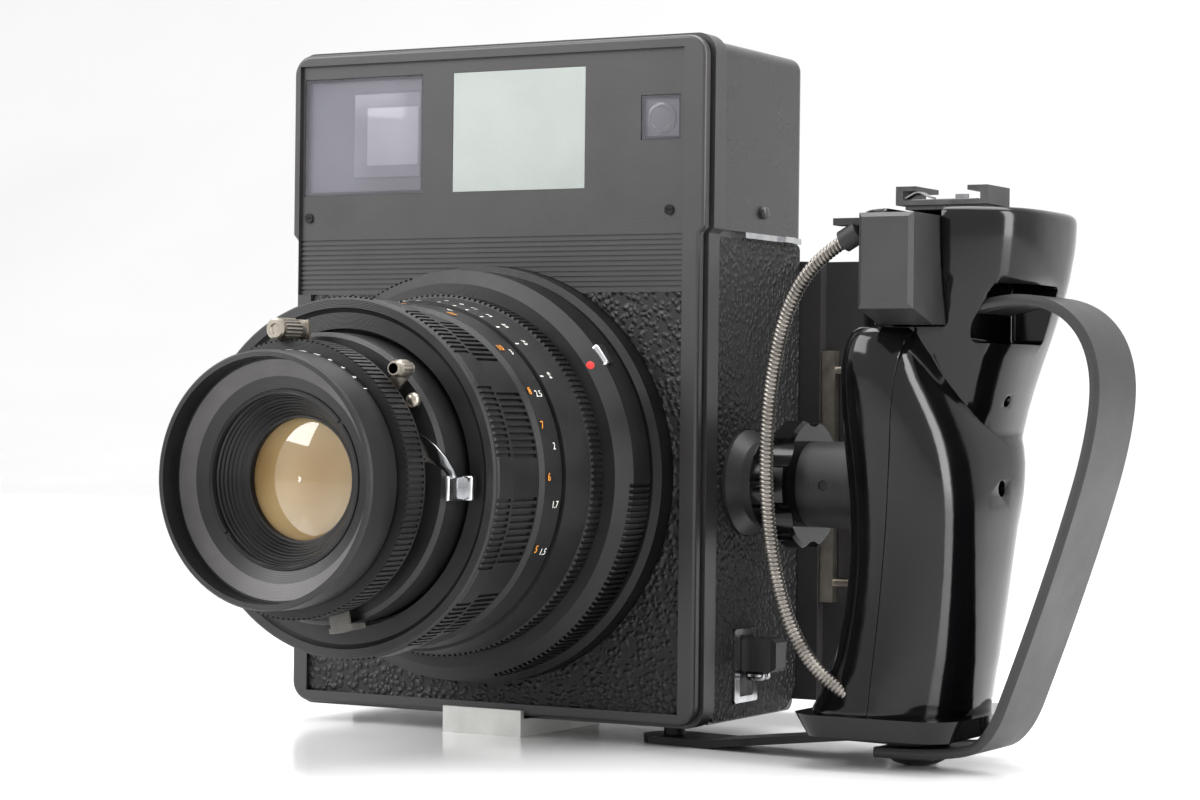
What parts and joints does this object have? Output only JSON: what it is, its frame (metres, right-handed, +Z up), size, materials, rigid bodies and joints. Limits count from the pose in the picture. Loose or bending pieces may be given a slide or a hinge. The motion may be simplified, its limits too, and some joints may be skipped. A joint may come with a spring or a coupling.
{
  "type": "press camera",
  "caption": "Press camera with a leaf-shutter lens, coupled rangefinder head, roll film back and a side grip with hand strap and cable release.",
  "frame": {"origin": "mouth of the tripod socket, in the middle of the tripod block's underside", "axes": "-Y along the lens axis towards the subject, +X towards the grip, +Z up"},
  "size_m": [0.249, 0.1898, 0.172],
  "materials": {
    "black_enamel": "die-cast alloy with satin black enamel",
    "black_anodised": "turned alloy, black anodised",
    "leatherette": "coarse pebbled black leatherette",
    "clear_glass": "polished optical glass",
    "coated_glass": "optical glass with an amber coating",
    "frosted_glass": "frosted illumination window",
    "bright_aluminium": "bare milled aluminium",
    "chrome_plate": "polished chrome plate",
    "nickel_plate": "nickel plated steel",
    "steel": "plain steel",
    "blued_steel": "blackened steel sheet",
    "grip_plastic": "glossy black moulded plastic",
    "trigger_plastic": "dark grey satin moulding",
    "strap_vinyl": "moulded dark grey vinyl",
    "shoe_metal": "grey plated sheet steel",
    "spool_plastic": "black moulded spool"
  },
  "bodies": {
    "camera_body": {"accessory_shoe": "shoe_metal", "arm_socket": "black_enamel", "body_shell": "black_enamel", "cable_ferrule": "black_anodised", "cable_release": "nickel_plate", "combining_prism": "clear_glass", "depth_scale": "black_anodised", "eyepiece": "black_anodised", "film_back_case": "black_enamel", "finder_bench": "black_enamel", "finder_windows": "clear_glass", "foot_screw": "blued_steel", "front_bezel": "black_enamel", "front_casting": "black_enamel", "front_leather": "leatherette", "front_panel": "black_enamel", "grip_arm": "black_anodised", "grip_plinth": "grip_plastic", "grip_shell_inner": "grip_plastic", "grip_shell_outer": "grip_plastic", "hand_strap": "strap_vinyl", "illumination_window": "frosted_glass", "lens_barrel": "black_anodised", "lug_plate": "chrome_plate", "mount_flange": "black_anodised", "panel_screws": "steel", "shoe_spring": "steel", "side_leathers": "leatherette", "switch_frame": "chrome_plate", "top_housing": "black_enamel", "trigger_spring": "steel", "tripod_block": "bright_aluminium"},
    "mirror_arm": {"mirror_arm": "chrome_plate"},
    "back_lock_lever": {"back_lock_lever": "black_anodised"},
    "lock_ring": {"lock_ring": "black_anodised"},
    "focus_ring": {"focus_ring": "black_anodised"},
    "lens_head": {"helicoid_sleeve": "black_anodised", "shutter_case": "black_anodised", "rear_element": "clear_glass", "front_cell": "black_anodised", "front_element": "coated_glass", "shutter_blades": "blued_steel", "iris_blades": "blued_steel", "front_rim": "black_anodised", "name_ring": "black_anodised"},
    "release_lever": {"release_lever": "chrome_plate"},
    "aperture_lever": {"aperture_lever": "nickel_plate"},
    "sync_lever": {"sync_lever": "black_anodised"},
    "cocking_lever": {"cocking_lever": "nickel_plate"},
    "speed_ring": {"speed_ring": "black_anodised"},
    "star_knob": {"star_knob": "grip_plastic"},
    "trigger": {"trigger": "trigger_plastic"},
    "grip_brace": {"grip_brace": "blued_steel"},
    "dark_slide": {"dark_slide": "nickel_plate"},
    "rear_door": {"rear_door": "black_enamel", "pressure_plate": "blued_steel"},
    "supply_spool": {"supply_spool": "spool_plastic"},
    "take_up_spool": {"take_up_spool": "spool_plastic"},
    "advance_lever": {"advance_lever": "black_anodised"},
    "door_latch": {"door_latch": "nickel_plate"}
  },
  "joints": [
    {"name": "focus_turn", "type": "hinge", "parent": "camera_body", "child": "focus_ring", "pos_m": [0, -0.06, 0.0646], "axis": [0, -1, 0], "range_deg": [0, 250]},
    {"name": "lens_extension", "type": "slide", "parent": "camera_body", "child": "lens_head", "axis": [0, -1, 0], "range_m": [0, 0.011]},
    {"name": "rangefinder_swing", "type": "hinge", "parent": "camera_body", "child": "mirror_arm", "pos_m": [0.04715, 0.0013, 0.14], "axis": [0, 0, 1], "range_deg": [0, 4.5]},
    {"name": "lock_ring_turn", "type": "hinge", "parent": "camera_body", "child": "lock_ring", "pos_m": [0, -0.03, 0.0646], "axis": [0, -1, 0], "range_deg": [0, 40]},
    {"name": "speed_ring_turn", "type": "hinge", "parent": "lens_head", "child": "speed_ring", "pos_m": [0, -0.1, 0.0646], "axis": [0, -1, 0], "range_deg": [0, 180]},
    {"name": "aperture_swing", "type": "hinge", "parent": "lens_head", "child": "aperture_lever", "pos_m": [0, -0.095, 0.0646], "axis": [0, -1, 0], "range_deg": [0, 30]},
    {"name": "cocking_swing", "type": "hinge", "parent": "lens_head", "child": "cocking_lever", "pos_m": [0, -0.1, 0.0646], "axis": [0, -1, 0], "range_deg": [0, 50], "stiffness_Nm_per_rad": 0.01, "springref_deg": -17.19},
    {"name": "release_swing", "type": "hinge", "parent": "lens_head", "child": "release_lever", "pos_m": [0, -0.094, 0.0646], "axis": [0, -1, 0], "range_deg": [-12, 0], "stiffness_Nm_per_rad": 0.02, "springref_deg": 11.46},
    {"name": "sync_swing", "type": "hinge", "parent": "lens_head", "child": "sync_lever", "pos_m": [0, -0.097, 0.0646], "axis": [0, -1, 0], "range_deg": [-20, 0]},
    {"name": "back_lock_travel", "type": "slide", "parent": "camera_body", "child": "back_lock_lever", "axis": [0, 0, 1], "range_m": [-0.0058, 0]},
    {"name": "star_knob_turn", "type": "hinge", "parent": "camera_body", "child": "star_knob", "pos_m": [0.07, 0.009, 0.0634], "axis": [1, 0, 0], "continuous": true},
    {"name": "trigger_travel", "type": "slide", "parent": "camera_body", "child": "trigger", "axis": [0, 1, 0], "range_m": [0, 0.005], "stiffness_N_per_m": 300, "springref_m": -0.002, "deforming": ["trigger_spring"]},
    {"name": "brace_swing", "type": "hinge", "parent": "camera_body", "child": "grip_brace", "pos_m": [0.115, -0.015, 0.006], "axis": [0, 0, 1], "range_deg": [0, 75]},
    {"name": "dark_slide_draw", "type": "slide", "parent": "camera_body", "child": "dark_slide", "axis": [1, 0, 0], "range_m": [0, 0.095]},
    {"name": "rear_door_swing", "type": "hinge", "parent": "camera_body", "child": "rear_door", "pos_m": [-0.0844, 0.0664, 0.063], "axis": [0, 0, 1], "range_deg": [0, 100]},
    {"name": "supply_spool_turn", "type": "hinge", "parent": "camera_body", "child": "supply_spool", "pos_m": [0.066, 0.0537, 0.064], "axis": [0, 0, 1], "continuous": true},
    {"name": "take_up_spool_turn", "type": "hinge", "parent": "camera_body", "child": "take_up_spool", "pos_m": [-0.066, 0.0537, 0.064], "axis": [0, 0, 1], "range_deg": [0, 150]},
    {"name": "advance_lever_swing", "type": "hinge", "parent": "camera_body", "child": "advance_lever", "pos_m": [-0.066, 0.0537, 0.12], "axis": [0, 0, 1], "range_deg": [0, 150]},
    {"name": "door_latch_swing", "type": "hinge", "parent": "camera_body", "child": "door_latch", "pos_m": [0.0848, 0.0502, 0.064], "axis": [0, 0, -1], "range_deg": [0, 70]}
  ],
  "couplings": [
    {"joint": "lens_extension", "follows": "focus_turn", "m_per_rad": 0.0025},
    {"joint": "rangefinder_swing", "follows": "focus_turn", "ratio": 0.016},
    {"joint": "take_up_spool_turn", "follows": "advance_lever_swing", "ratio": 1}
  ]
}
